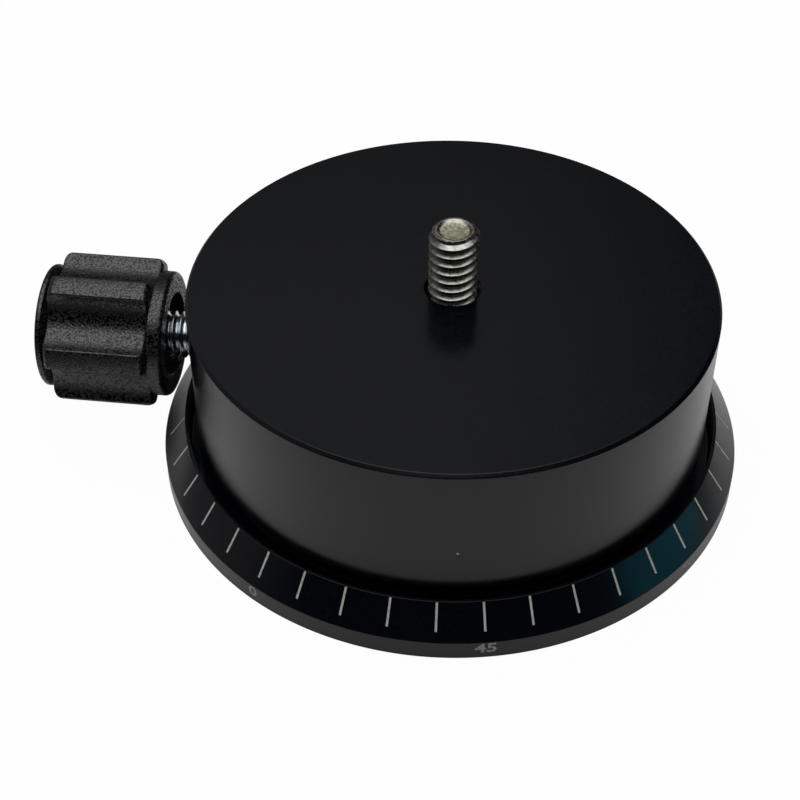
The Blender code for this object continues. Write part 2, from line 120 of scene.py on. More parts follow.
# How finely the surfaces are divided
ROUND_COLUMNS = 256
THREAD_COLUMNS = 144
SCREW_COLUMNS = 48
ROWS_PER_PITCH = 31
ARC_STEPS = 5
SUPPORT = 0.15 * MM

# Depth of a standard 60 degree thread as a share of its pitch
THREAD_DEPTH = 0.6134

# Surfaces that meet at more than this are shaded with an edge
SHARP_ABOVE = math.radians(32)
SHARP_THREAD = math.radians(50)

# Colours of dust on black, of the cup in the stud's end, of the floor and of the small lamp; the
# floor's near and far colours paint a pool of light around the object
DUST = (0.22, 0.22, 0.20)
CUP_DARK = (0.30, 0.295, 0.22)
CUP_PALE = (0.58, 0.57, 0.44)
FLOOR_NEAR = (0.9, 0.9, 0.9)
FLOOR_FAR = (0.2, 0.2, 0.2)
WHITE = (1.0, 1.0, 1.0)
GLIMMER_COLOUR = (0.1, 0.9, 1.2)


# Properties


def size_property(name, description, default):
    """A length that the user may change."""
    return bpy.props.FloatProperty(
        name=name, description=description, default=default, min=0.0,
        precision=5, unit="LENGTH", subtype="DISTANCE")


def share_property(name, description, default):
    """A share from 0 to 1 that the user may change."""
    return bpy.props.FloatProperty(
        name=name, description=description, default=default, min=0.0, max=1.0, subtype="FACTOR")


def angle_property(name, description, degrees):
    """An angle that the user may change."""
    return bpy.props.FloatProperty(
        name=name, description=description, default=math.radians(degrees),
        unit="ROTATION", subtype="ANGLE")


def colour_property(name, description, default):
    """A colour that the user may change."""
    return bpy.props.FloatVectorProperty(
        name=name, description=description, default=default, size=3,
        min=0.0, max=1.0, subtype="COLOR")


def count_property(name, description, default):
    """A whole number that the user may change."""
    return bpy.props.IntProperty(name=name, description=description, default=default, min=1)


def level_property(name, description, default):
    """A light level that the user may change."""
    return bpy.props.FloatProperty(name=name, description=description, default=default, min=0.0)


def place_property(name, description, default):
    """A point that the user may move."""
    return bpy.props.FloatVectorProperty(
        name=name, description=description, default=default, size=3,
        unit="LENGTH", subtype="TRANSLATION")


class RotatorBaseSettings(bpy.types.PropertyGroup):
    """Sizes of the graduated dish."""

    lip_radius: size_property("Lip radius", "Outer radius of the lip around the drum", 34.6 * MM)
    lip_width: size_property("Lip width", "Width of the lip's flat top", 0.4 * MM)
    floor: size_property("Floor", "Thickness of the dish's floor", 3.0 * MM)
    rim_height: size_property("Rim height", "Height of the upright rim", 2.7 * MM)
    rim_edge: size_property("Rim edge", "Chamfer under the rim", 0.1 * MM)
    ticks: count_property("Ticks", "How many marks the scale has", 40)
    tick_width: size_property("Tick width", "Width of one mark", 0.27 * MM)
    tick_share: share_property("Tick length", "Length of a mark as a share of the bevel", 0.725)
    mark_height: size_property("Mark height", "How far paint stands proud", 0.012 * MM)
    number_place: size_property("Number place", "Height of the digits' middle", 1.78 * MM)
    number_height: size_property("Number height", "Height of the digits", 1.6 * MM)
    number_width: size_property("Number width", "Width of one digit", 1.3 * MM)
    number_shift: size_property(
        "Number shift", "Sideways shift for a digit more or less than two", 0.38 * MM)
    number_step: count_property("Number step", "Degrees from one number to the next", 45)
    zero_angle: angle_property("Zero mark", "Angle of the zero mark from -Y towards +X", -33.0)


class RotatorDrumSettings(bpy.types.PropertyGroup):
    """Sizes of the drum."""

    top_edge: size_property("Top edge", "Chamfer around the top face", 0.4 * MM)
    wall_bottom: size_property("Wall bottom", "Height of the wall's lower edge", 7.26 * MM)
    skirt_radius: size_property("Skirt radius", "Radius of the skirt in the dish", 31.5 * MM)
    bore_radius: size_property("Bore radius", "Radius of the lock screw's bore", 3.3 * MM)
    bore_edge: size_property("Bore edge", "Chamfer around the lock screw's bore", 0.3 * MM)
    stud_hole: size_property("Stud hole", "Radius of the hole around the stud", 3.25 * MM)
    stud_hole_edge: size_property("Stud hole edge", "Countersink of that hole", 0.35 * MM)
    dot_radius: size_property("Dot radius", "Radius of the index dot", 0.14 * MM)
    dot_angle: angle_property("Dot angle", "Angle of the index dot from -Y towards +X", 6.8)
    dot_height: size_property("Dot height", "Height of the index dot", 13.2 * MM)
    dot_rise: size_property("Dot rise", "How far the index dot stands proud", 0.012 * MM)


class RotatorStudSettings(bpy.types.PropertyGroup):
    """Sizes of the camera stud."""

    pitch: size_property("Pitch", "Height of one turn of the thread", 1.27 * MM)
    crest_share: share_property("Crest share", "Crest radius as a share of the nominal radius", 0.975)
    thread_deep: share_property("Thread depth", "Depth of the thread as a share of the pitch", 0.5)
    crest_flat: share_property("Crest flat", "Width of a crest as a share of the pitch", 0.06)
    tip_radius: size_property("Tip radius", "Radius of the stud's end face", 2.42 * MM)
    tip_slope: share_property("Tip slope", "How fast the tip widens downwards", 1.0)
    lip_width: size_property("Lip width", "Width of the lip around the cup", 0.3 * MM)
    cup_rim: size_property("Cup rim", "Radius at which the cup's dished floor starts", 1.75 * MM)
    cup_edge: size_property("Cup edge", "Depth of the cup there", 0.30 * MM)
    cup_depth: size_property("Cup depth", "Depth of the cup's middle", 0.42 * MM)
    start: share_property("Thread start", "Where in its turn the thread starts", 0.86)


class RotatorKnobSettings(bpy.types.PropertyGroup):
    """Sizes of the lock knob and its screw."""

    ridges: count_property("Ridges", "How many ridges the grip has", 6)
    ridge_radius: size_property("Ridge radius", "Outer radius of the ridges", 9.56 * MM)
    ridge_width: size_property("Ridge width", "Width of a ridge's land", 2.85 * MM)
    ridge_round: size_property("Ridge rounding", "Radius of the ridges' long edges", 0.26 * MM)
    ridge_start: size_property("Ridge start", "Rounding of the ridges at the collar", 1.0 * MM)
    ridge_end: size_property("Ridge end", "Length of the ridges' slope at the cap", 0.95 * MM)
    ridge_drop: size_property("Ridge drop", "How far they come down there", 1.45 * MM)
    ridge_phase: angle_property("Ridge phase", "Turn of the first ridge from upright", -17.2)
    flute_radius: size_property("Flute radius", "Distance from the axis to a flute's floor", 7.1 * MM)
    cap_cone: size_property("Cap cone", "Slope of the cap's back towards its rim", 0.55 * MM)
    collar_radius: size_property("Collar radius", "Radius of the collar at the drum's side", 8.1 * MM)
    collar_width: size_property("Collar width", "Width of the collar", 1.9 * MM)
    neck_depth: size_property("Neck depth", "Depth of the neck behind the collar", 0.6 * MM)
    neck_width: size_property("Neck width", "Width of the neck", 0.6 * MM)
    recess_radius: size_property("Recess radius", "Radius of the recess around the screw", 5.3 * MM)
    recess_depth: size_property("Recess depth", "Depth of that recess", 1.2 * MM)
    screw_radius: size_property("Screw radius", "Outer radius of the lock screw's thread", 3.0 * MM)
    screw_pitch: size_property("Screw pitch", "Distance from turn to turn of its thread", 1.0 * MM)
    screw_start: share_property("Screw start", "Where in its turn that thread starts", 0.62)
    head_corner: size_property("Head corner", "Radius to the corners of its hexagon head", 5.77 * MM)


class RotatorFinishSettings(bpy.types.PropertyGroup):
    """Colours of the visible finishes."""

    anodised: colour_property("Anodised", "Black anodised aluminium", (0.0016, 0.0022, 0.0044))
    plastic: colour_property("Plastic", "Black knob plastic", (0.0018, 0.0020, 0.0030))
    stainless: colour_property("Stainless", "Stainless steel of the stud", (0.36, 0.355, 0.32))
    zinc: colour_property("Zinc", "Zinc plate of the lock screw", (0.66, 0.72, 0.76))
    marks: colour_property("Marks", "Engraved and filled marks", (0.50, 0.50, 0.47))
    numbers: colour_property("Numbers", "Printed numbers", (0.25, 0.255, 0.25))


class RotatorStageSettings(bpy.types.PropertyGroup):
    """Camera, floor and light."""

    camera_place: place_property(
        "Camera place", "Where the camera stands", (0.019635, -0.159372, 0.152360))
    camera_aim: place_property(
        "Camera aim", "The point that the camera looks at", (0.001962, -0.009687, 0.015))
    lens: bpy.props.FloatProperty(
        name="Lens", description="Focal length for a 36 mm sensor", default=74.118,
        unit="CAMERA")
    floor_shade: share_property("Floor shade", "How much of the object's shadow shows", 0.03)
    floor_start: size_property("Floor start", "Radius at which its white starts to fall", 62 * MM)
    floor_end: size_property("Floor end", "Radius at which it is down to the room's level", 92 * MM)
    overhead: level_property("Overhead", "Level of the soft light above the object", 2.0)
    room_left: level_property("Room left", "Level of the room at the left and behind", 0.30)
    room_right: level_property("Room right", "Level of the room at the right", 0.05)
    glimmer: level_property("Glimmer", "Brightness of the small cool lamp at the right", 0.5)
    glimmer_place: place_property(
        "Glimmer place", "Where that lamp stands", (0.0874, -0.025, 0.0135))
    glimmer_width: size_property("Glimmer width", "Width of that lamp", 50 * MM)
    glimmer_height: size_property("Glimmer height", "Height of that lamp", 20 * MM)


SETTINGS = {
    "rotator_base": RotatorBaseSettings,
    "rotator_drum": RotatorDrumSettings,
    "rotator_stud": RotatorStudSettings,
    "rotator_knob": RotatorKnobSettings,
    "rotator_finish": RotatorFinishSettings,
    "rotator_stage": RotatorStageSettings,
}


# Surfaces


def rounded(points, radii, closed=False):
    """A profile whose corners are arcs.

    A corner between two straight sides becomes an arc that touches both: it starts and ends
    radius * tan(half the turn) away from the corner, though at most nearly half the shorter
    side, and its centre lies on the corner's bisector. One more point a short way out on each
    side keeps flat sides flat when shaded.
    """
    points = np.asarray(points, float)
    count = len(points)
    out = []
    for i, radius in enumerate(radii):
        corner = points[i]
        inner = closed or 0 < i < count - 1
        if not inner or radius <= 0:
            out.append(corner[None])
            continue
        before = points[(i - 1) % count] - corner
        after = points[(i + 1) % count] - corner
        room = min(np.linalg.norm(before), np.linalg.norm(after))
        before, after = before / np.linalg.norm(before), after / np.linalg.norm(after)
        turn = math.pi - math.acos(np.clip(before @ after, -1, 1))
        reach = min(radius * math.tan(turn / 2), 0.49 * room)
        radius = reach / math.tan(turn / 2)
        bisector = (before + after) / np.linalg.norm(before + after)
        centre = corner + bisector * radius / math.cos(turn / 2)
        first = (corner + before * reach - centre) / radius
        last = (corner + after * reach - centre) / radius
        t = np.linspace(0, 1, ARC_STEPS + 1)[:, None]
        arc = (np.sin((1 - t) * turn) * first + np.sin(t * turn) * last) / math.sin(turn)
        extra = min(SUPPORT, max(0.5 * room - reach, 0) * 0.8)
        apart = 1 if extra > 1e-6 else 0
        out.append((corner + before * (reach + extra))[None][:apart])
        out.append(centre + arc * radius)
        out.append((corner + after * (reach + extra))[None][:apart])
    return np.concatenate(out)


def columns(count):
    """Angles of a grid's columns, once round."""
    return np.arange(count) * TAU / count


def turned(profile, angles):
    """Grid of a turned shape: x = r cos(angle), y = r sin(angle), z = height of a profile point."""
    r, z = profile[:, :1], profile[:, 1:]
    return np.stack([r * np.cos(angles), r * np.sin(angles), z + 0 * angles], -1)


def shaped(radii, heights, angles):
    """The same with a radius, and a height, for each row and column."""
    heights = np.broadcast_to(heights, radii.shape)
    angles = np.broadcast_to(angles, radii.shape)
    return np.stack([radii * np.cos(angles), radii * np.sin(angles), heights], -1)


def hexagon(corner, angles):
    """Radius of a hexagon at each angle: its flat's distance over the cosine of the angle to it."""
    sector = TAU / 6
    within = np.mod(angles, sector) - sector / 2
    return corner * math.cos(sector / 2) / np.cos(within)


def soft_clip(value, soften):
    """The value held between 0 and 1, with parabolas of that half width in place of the corners."""

    def ramp(x):
        """0 below, x above, and (x + soften) squared over 4 times soften between."""
        middle = (x + soften) ** 2 / (4 * soften)
        return np.where(x < -soften, 0, np.where(x > soften, x, middle))

    return ramp(value) - ramp(value - 1)


def thread_radius(major, pitch, heights, angles, start=0.0, inside=False, crest=1 / 8, soften=0.09,
                  deep=THREAD_DEPTH):
    """Radius of a right-hand thread at each height and angle.

    Along the axis the turn's phase is height / pitch - angle / one turn. The radius is the
    root's plus the depth times a trapezoid of that phase: the crest is that share of the
    pitch, and the flanks lean 30 degrees. In a nut the trapezoid is turned over.
    """
    depth, flank = deep * pitch, deep * math.tan(math.radians(30))
    phase = heights / pitch - angles / TAU + start
    away = np.abs(np.mod(phase, 1) - 0.5)
    rise = soft_clip((crest / 2 + flank - away) / flank, soften)
    return major - depth + depth * (1 - rise if inside else rise)


def faces_of(rows, cols, rows_meet=False):
    """Four-cornered faces of a grid whose columns go round, and its rows too if they meet."""
    number = np.arange(rows * cols).reshape(rows, cols)
    above = np.roll(number, -1, 0)
    if not rows_meet:
        number, above = number[:-1], above[:-1]
    beside, above_beside = np.roll(number, -1, 1), np.roll(above, -1, 1)
    return np.stack([number, beside, above_beside, above], -1).reshape(-1, 4)


def skin(grid, rows_meet=False, poles=(None, None)):
    """Points and faces of a grid. A pole is the height at which a fan closes that end."""
    rows, cols = grid.shape[:2]
    points = grid.reshape(-1, 3)
    faces = faces_of(rows, cols, rows_meet).tolist()
    for row, height in zip((0, rows - 1), poles):
        if height is None:
            continue
        centre = len(points)
        points = np.concatenate([points, [[0.0, 0.0, height]]])
        ring = row * cols + np.arange(cols)
        beside = np.roll(ring, -1)
        pair = (beside, ring) if row == 0 else (ring, beside)
        faces += np.stack([*pair, np.full(cols, centre)], -1).tolist()
    return points, faces


def upright(points):
    """Local points about the Z axis, moved to the turning axis."""
    return points + (axis_x, 0, 0)


def laid(points):
    """Local points about the Z axis, laid along -X: Z runs outwards, and X stands up."""
    return np.stack(
        [axis_x - points[:, 2], points[:, 1], lock_height + points[:, 0]], -1)


def mesh_of(name, points, faces):
    """A mesh with its faces turned outwards.

    The sum over its triangles of the corners' triple products is six times the volume inside,
    and where that is negative the faces point inwards and are turned over.
    """
    mesh = bpy.data.meshes.new(name)
    mesh.from_pydata(points.tolist(), [], faces)
    mesh.calc_loop_triangles()
    corners = np.empty(len(mesh.loop_triangles) * 3, np.int32)
    mesh.loop_triangles.foreach_get("vertices", corners)
    a, b, c = points[corners.reshape(-1, 3).T]
    if np.einsum("ij,ij->", a, np.cross(b, c)) < 0:
        mesh.flip_normals()
    mesh.update()
    return mesh


def linked(name, data):
    """A new object that is in the scene."""
    thing = bpy.data.objects.new(name, data)
    bpy.context.scene.collection.objects.link(thing)
    return thing


def piece(name, points, faces, body, slot_name, nodes=(), sharp=SHARP_ABOVE):
    """A finished piece that rides on a body and stands for the CAD nodes named."""
    settle(linked(name, mesh_of(name, points, faces)), body, slot_name, nodes, sharp)


def settle(thing, body, slot_name, nodes=(), sharp=SHARP_ABOVE):
    """Shade, dress and mount a piece. Paint has a finish, and none of the record's slots."""
    thing.data.materials.clear()
    thing.data.materials.append(finish_named(slot_name))
    thing.data.shade_smooth()
    thing.data.set_sharp_from_angle(angle=sharp)
    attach(thing, body)
    if nodes:
        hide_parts(*nodes)


def joined(parts):
    """Several (points, faces) as one."""
    points, faces, first = [], [], 0
    for p, f in parts:
        points.append(p)
        faces += [[first + v for v in face] for face in f]
        first += len(p)
    return np.concatenate(points), faces


def carve(thing, points, faces):
    """Take a closed shape out of a piece for good."""
    cutter = linked("cutter", mesh_of("cutter", points, faces))
    modifier = thing.modifiers.new("cut", "BOOLEAN")
    modifier.operation = "DIFFERENCE"
    modifier.solver = "EXACT"
    modifier.object = cutter
    mesh = mesh_as_seen(thing)
    thing.modifiers.clear()
    thing.data = mesh
    bpy.data.objects.remove(cutter)


def mesh_as_seen(thing):
    """A mesh of an object with its modifiers applied, or of a text."""
    bpy.context.view_layer.update()
    seen = thing.evaluated_get(bpy.context.evaluated_depsgraph_get())
    return bpy.data.meshes.new_from_object(seen)


def ringed(points, count, circle, azimuth):
    """Copies of a shape at even turns on a circle about the turning axis.

    Each copy is moved out along X by the circle's radius, and then turned.
    """
    x, y, z = points[:, 0] + circle, points[:, 1], points[:, 2]
    for turn in azimuth + columns(count):
        c, s = math.cos(turn), math.sin(turn)
        yield upright(np.stack([x * c - y * s, x * s + y * c, z], -1))


def drill(thing, section, count, circle, azimuth):
    """Carve upright round holes out of a piece, on a circle about the turning axis."""
    points, faces = skin(turned(section, columns(SCREW_COLUMNS)), poles=section[[0, -1], 1])
    for hole in ringed(points, count, circle, azimuth):
        carve(thing, hole, faces)


# Finishes


def add_node(tree, kind, links=None, **settings):
    """One shader node with its settings, and its inputs linked or set by name or number."""
    node = tree.nodes.new(kind)
    for key, value in settings.items():
        setattr(node, key, value)
    for key, value in (links or {}).items():
        if isinstance(value, bpy.types.NodeSocket):
            tree.links.new(value, node.inputs[key])
        else:
            node.inputs[key].default_value = value
    return node


def maths(tree, operation, *values):
    """The result of a sum on sockets or numbers."""
    links = {i: v for i, v in enumerate(values)}
    return add_node(tree, "ShaderNodeMath", links, operation=operation).outputs[0]


def remap(tree, value, low, high, to_low=0.0, to_high=1.0, smooth=True):
    """A value taken from one range to another and held there."""
    links = {"Value": value, "From Min": low, "From Max": high, "To Min": to_low, "To Max": to_high}
    kind = "SMOOTHSTEP" if smooth else "LINEAR"
    return add_node(tree, "ShaderNodeMapRange", links, interpolation_type=kind, clamp=True).outputs[0]


def mixed(tree, share, first, second):
    """Two colours mixed by a share."""
    node = add_node(tree, "ShaderNodeMix", data_type="RGBA")
    for socket, value in ((0, share), (6, first), (7, second)):
        if isinstance(value, bpy.types.NodeSocket):
            tree.links.new(value, node.inputs[socket])
        else:
            node.inputs[socket].default_value = (*value, 1) if socket else value
    return node.outputs[2]


class Finish:
    """A material under construction: its tree, its shader and its place on the object."""

    def __init__(self, name, **sockets):
        """Name it, and set the shader's plain values by their names with underscores."""
        self.material = bpy.data.materials.new(name)
        self.material.use_nodes = True
        self.tree = self.material.node_tree
        self.shader = self.tree.nodes["Principled BSDF"]
        for key, value in sockets.items():
            socket = self.shader.inputs[key.replace("_", " ")]
            socket.default_value = (*value, 1) if isinstance(value, tuple) else value
        self.place = add_node(self.tree, "ShaderNodeTexCoord").outputs["Object"]

    def noise(self, size, detail=2.0, stretch=(1, 1, 1), roughness=0.5):
        """Noise whose features are about that size, in metres."""
        place = self.place
        if stretch != (1, 1, 1):
            place = add_node(self.tree, "ShaderNodeMapping", {"Vector": place, "Scale": stretch})
            place = place.outputs[0]
        links = {"Vector": place, "Scale": 1 / size, "Detail": detail, "Roughness": roughness}
        return add_node(self.tree, "ShaderNodeTexNoise", links).outputs["Fac"]

    def specks(self, size, share, radius):
        """Small round spots in a share of cells of that size: 1 in a spot and 0 elsewhere."""
        links = {"Vector": self.place, "Scale": 1 / size}
        cells = add_node(self.tree, "ShaderNodeTexVoronoi", links, feature="F1")
        near = remap(self.tree, cells.outputs["Distance"], radius, 0.6 * radius)
        chosen = maths(self.tree, "GREATER_THAN", cells.outputs["Color"], 1 - share)
        return maths(self.tree, "MULTIPLY", near, chosen)

    def about(self, middle):
        """Distance from the vertical axis through middle, and height."""
        tree = self.tree
        off = add_node(tree, "ShaderNodeVectorMath", {0: self.place, 1: middle}, operation="SUBTRACT")
        links = {0: off.outputs[0], 1: (1, 1, 0)}
        flat = add_node(tree, "ShaderNodeVectorMath", links, operation="MULTIPLY")
        away = add_node(tree, "ShaderNodeVectorMath", {0: flat.outputs[0]}, operation="LENGTH")
        height = add_node(tree, "ShaderNodeSeparateXYZ", {0: self.place}).outputs[2]
        return away.outputs["Value"], height

    def grit(self, size):
        """Rounded grains of about that size: 1 in the middle of a grain and 0 between grains."""
        links = {"Vector": self.place, "Scale": 1 / size}
        cells = add_node(self.tree, "ShaderNodeTexVoronoi", links, feature="F1")
        return remap(self.tree, cells.outputs["Distance"], 0.8, 0.0, smooth=False)

    def set(self, socket, value):
        """Link a shader socket."""
        self.tree.links.new(value, self.shader.inputs[socket])

    def bump(self, *layers):
        """Surface relief from (height, depth in metres) layers, each on top of the last."""
        normal = None
        for height, depth in layers:
            links = {"Height": height, "Distance": depth, "Strength": 1.0}
            if normal is not None:
                links["Normal"] = normal
            normal = add_node(self.tree, "ShaderNodeBump", links).outputs[0]
        self.set("Normal", normal)


def scaled(colour, factor):
    """A colour made lighter or darker."""
    return tuple(min(1.0, c * factor) for c in colour)


def anodised_finish(name, colour):
    """Fine black anodising: even grain, faint cloudiness, a few specks of dust."""
    finish = Finish(name, Roughness=0.21, IOR=1.40)
    tree = finish.tree
    grain = finish.noise(0.17 * MM, 2.0)
    cloud = finish.noise(9 * MM, 3.0)
    tone = remap(tree, grain, 0.3, 0.7, smooth=False)
    base = mixed(tree, tone, scaled(colour, 0.1), scaled(colour, 1.9))
    speck = finish.specks(2.3 * MM, share=0.02, radius=0.045)
    finish.set("Base Color", mixed(tree, speck, base, DUST))
    fine = remap(tree, grain, 0.3, 0.7, 0.18, 0.24)
    finish.set("Roughness", maths(tree, "ADD", fine, remap(tree, cloud, 0.3, 0.7, -0.02, 0.02)))
    finish.bump((grain, 0.004 * MM))
    return finish.material


def plastic_finish(name, colour):
    """Moulded black plastic with an uneven, slightly glossy grain."""
    finish = Finish(name, Roughness=0.3, IOR=1.57)
    tree = finish.tree
    grain = finish.grit(0.30 * MM)
    swirl = finish.noise(0.9 * MM, 3.0, roughness=0.6)
    tone = remap(tree, swirl, 0.3, 0.7)
    finish.set("Base Color", mixed(tree, tone, scaled(colour, 0.6), scaled(colour, 1.4)))
    fleck = finish.noise(0.26 * MM, 1.0)
    finish.set("Roughness", remap(tree, fleck, 0.36, 0.60, 0.65, 0.12))
    finish.bump((swirl, 0.03 * MM), (grain, 0.02 * MM))
    return finish.material


def metal_finish(name, colour, roughness, stain=0.8, grain_size=0.08 * MM, stretch=(1, 1, 1)):
    """Bare or plated metal with machining grain and faint stains."""
    finish = Finish(name, Metallic=1.0, Roughness=roughness)
    tree = finish.tree
    grain = finish.noise(grain_size, 3.0, stretch)
    patch = finish.noise(1.6 * MM, 3.0)
    stained = mixed(tree, remap(tree, patch, 0.35, 0.7), scaled(colour, stain), colour)
    finish.set("Base Color", stained)
    finish.set("Roughness", remap(tree, grain, 0.3, 0.7, roughness * 0.8, roughness * 1.25))
    finish.bump((grain, 0.001 * MM))
    return finish.material


def stud_finish(name, colour):
    """Stainless steel, with painted shade darkening the thread's roots, mottled, and rough in the cup
    of its end.
    """
    finish = Finish(name, Metallic=1.0, Roughness=0.28)
    tree = finish.tree
    away, height = finish.about((axis_x, 0, 0))
    # The end lies above the thread, the roots inside its crests, and the cup inside its rim
    end = remap(tree, height, stud_top - 0.9 * MM, stud_top - 0.7 * MM)
    thread = maths(tree, "SUBTRACT", 1.0, end)
    # Painted shade: the roots are drawn darker where the shadow under each crest falls
    root = maths(tree, "MULTIPLY", thread, remap(tree, away, 2.5 * MM, 3.0 * MM, 1.0, 0.0))
    cup = maths(tree, "MULTIPLY", end, remap(tree, away, 1.9 * MM, 1.75 * MM))
    patch = remap(tree, finish.noise(0.5 * MM, 3.0, roughness=0.6), 0.35, 0.65)
    colours = mixed(tree, patch, scaled(colour, 0.65), scaled(colour, 1.2))
    colours = mixed(tree, root, colours, scaled(colour, 0.45))
    finish.set("Base Color", mixed(tree, cup, colours, mixed(tree, patch, CUP_DARK, CUP_PALE)))
    mottle = remap(tree, patch, 0, 1, 0.24, 0.34)
    finish.set("Roughness", maths(tree, "MULTIPLY_ADD", cup, 0.25, mottle))
    finish.bump((patch, 0.0015 * MM))
    return finish.material


def paint_finish(name, colour):
    """Matt paint in an engraved mark, a little uneven."""
    finish = Finish(name, Roughness=0.6)
    tree = finish.tree
    wear = finish.noise(0.35 * MM, 3.0)
    finish.set("Base Color", mixed(tree, remap(tree, wear, 0.3, 0.6), scaled(colour, 0.7), colour))
    finish.bump((wear, 0.002 * MM))
    return finish.material


def soft_plastic_finish(name, colour, roughness):
    """Plain moulded plastic of an inner piece."""
    finish = Finish(name, Roughness=roughness)
    tree = finish.tree
    grain = finish.noise(0.4 * MM, 3.0)
    finish.set("Base Color", mixed(tree, remap(tree, grain, 0.3, 0.7), scaled(colour, 0.92), colour))
    finish.bump((grain, 0.002 * MM))
    return finish.material


FINISHES_MADE = {}


def finish_named(slot_name):
    """The finish of a material slot or a paint, made once by its maker from colour and looks."""
    if slot_name in FINISHES_MADE:
        return bpy.data.materials[FINISHES_MADE[slot_name]]
    chosen = bpy.context.scene.rotator_finish
    makers = {
        "black_anodised": (anodised_finish, chosen.anodised),
        "black_plastic": (plastic_finish, chosen.plastic),
        "stainless_steel": (stud_finish, chosen.stainless),
        "zinc_plate": (metal_finish, chosen.zinc, 0.17, 0.9),
        "black_oxide_steel": (metal_finish, (0.05, 0.05, 0.055), 0.36),
        "aluminium": (metal_finish, (0.72, 0.72, 0.73), 0.30, 0.8, 0.08 * MM, (1, 1, 6)),
        "brass": (metal_finish, (0.74, 0.55, 0.26), 0.26),
        "bronze": (metal_finish, (0.55, 0.36, 0.20), 0.42, 0.8, 0.2 * MM),
        "bearing_steel": (metal_finish, (0.70, 0.70, 0.71), 0.12, 0.95),
        "spring_steel": (metal_finish, (0.45, 0.46, 0.48), 0.28),
        "white_glide_plastic": (soft_plastic_finish, (0.82, 0.82, 0.80), 0.45),
        "cage_nylon": (soft_plastic_finish, (0.62, 0.60, 0.52), 0.5),
        "scale_paint": (paint_finish, chosen.marks),
        "number_paint": (paint_finish, chosen.numbers),
    }
    maker, colour, *looks = makers[slot_name]
    material = maker("finish_" + slot_name, tuple(colour), *looks)
    FINISHES_MADE[slot_name] = material.name
    return material


# The pieces


def base_profile(sizes):
    """The dish's section as a closed line, and the rounding of each corner."""
    bore, flange_bore, seat = np.array([BUSH_BODY, BUSH_FLANGE, FLANGE_HEIGHT]) + BUSH_GAP
    inner = sizes.lip_radius - sizes.lip_width
    points = [
        (bore, sizes.floor), (inner, sizes.floor), (inner, lip_height),
        (sizes.lip_radius, lip_height), (base_radius, sizes.rim_height),
        (base_radius, sizes.rim_edge), (base_radius - sizes.rim_edge, 0),
        (flange_bore, 0), (flange_bore, seat), (bore, seat),
    ]
    radii = in_mm(0.08, 0.3, 0.05, 0.05, 0.12, 0.1, 0.1, 0.1, 0.05, 0.05)
    return rounded(points, radii, closed=True)


def tick_marks(sizes):
    """Thin plates on the bevel.

    A mark runs down the cone from the lip: its point at (along, across, up) is the cone's edge
    point plus along times the slope's direction, across times the sideways direction and up
    times the slope's normal. All marks are one array, turned to their angles.
    """
    slope = np.array([base_radius - sizes.lip_radius, sizes.rim_height - lip_height])
    reach = np.linalg.norm(slope)
    down = slope / reach
    normal = np.array([-down[1], down[0]])
    gap_to_lip, rows = 0.10 * MM, 9
    along = np.linspace(gap_to_lip, sizes.tick_share * reach, rows)
    across = sizes.tick_width / 2 * np.array([-1, -1, 1, 1])
    up = np.array([-PAINT_DEPTH, sizes.mark_height, sizes.mark_height, -PAINT_DEPTH])
    radial = sizes.lip_radius + along[:, None] * down[0] + up * normal[0]
    height = lip_height + along[:, None] * down[1] + up * normal[1]
    sideways = np.broadcast_to(across, radial.shape)
    ring = np.stack([radial, sideways, height], -1)
    angles = sizes.zero_angle - math.pi / 2 + columns(sizes.ticks)
    c, s = np.cos(angles)[:, None, None], np.sin(angles)[:, None, None]
    x, y = ring[..., 0] * c - ring[..., 1] * s, ring[..., 0] * s + ring[..., 1] * c
    points = np.stack([x, y, np.broadcast_to(ring[..., 2], x.shape)], -1)
    ends = np.array([[0, 1, 2, 3], [-1, -2, -3, -4]]) % (4 * rows)
    faces = np.concatenate([faces_of(rows, 4), ends])
    every = faces[None] + (np.arange(sizes.ticks) * 4 * rows)[:, None, None]
    return upright(points.reshape(-1, 3)), every.reshape(-1, 4).tolist()


def digits(text, sizes):
    """Flat solid digits as points and faces, centred, with the digits' height along Y.

    The text is made at its own size, with strokes a little thickened by the offset, and then
    stretched to its width and height.
    """
    curve = bpy.data.curves.new("digits", "FONT")
    curve.body = text
    curve.align_x = "CENTER"
    curve.extrude = 0.5
    curve.offset = 0.02
    curve.resolution_u = 4
    thing = linked("digits", curve)
    mesh = mesh_as_seen(thing)
    points = np.zeros(len(mesh.vertices) * 3)
    mesh.vertices.foreach_get("co", points)
    faces = [list(f.vertices) for f in mesh.polygons]
    bpy.data.objects.remove(thing)
    bpy.data.meshes.remove(mesh)
    points = points.reshape(-1, 3)
    low, high = points.min(0), points.max(0)
    points -= (low + high) / 2
    points[:, 0] *= sizes.number_width * len(text) / (high[0] - low[0])
    points[:, 1] *= sizes.number_height / (high[1] - low[1])
    return points, faces


def rim_numbers(sizes):
    """The scale's numbers on the upright rim.

    A digit's point (x, y, depth) goes to the angle x / rim radius, the height y above the
    digits' middle, and the rim radius plus the paint's height or less its depth.
    """
    parts = []
    for value in range(0, 360, sizes.number_step):
        text = str(value)
        points, faces = digits(text, sizes)
        across = points[:, 0] + sizes.number_shift * (len(text) - 2)
        angle = sizes.zero_angle - math.pi / 2 + math.radians(value) + across / base_radius
        radius = base_radius + np.where(points[:, 2] > 0, sizes.mark_height, -PAINT_DEPTH)
        placed = [radius * np.cos(angle), radius * np.sin(angle), sizes.number_place + points[:, 1]]
        parts.append((upright(np.stack(placed, -1)), faces))
    return joined(parts)


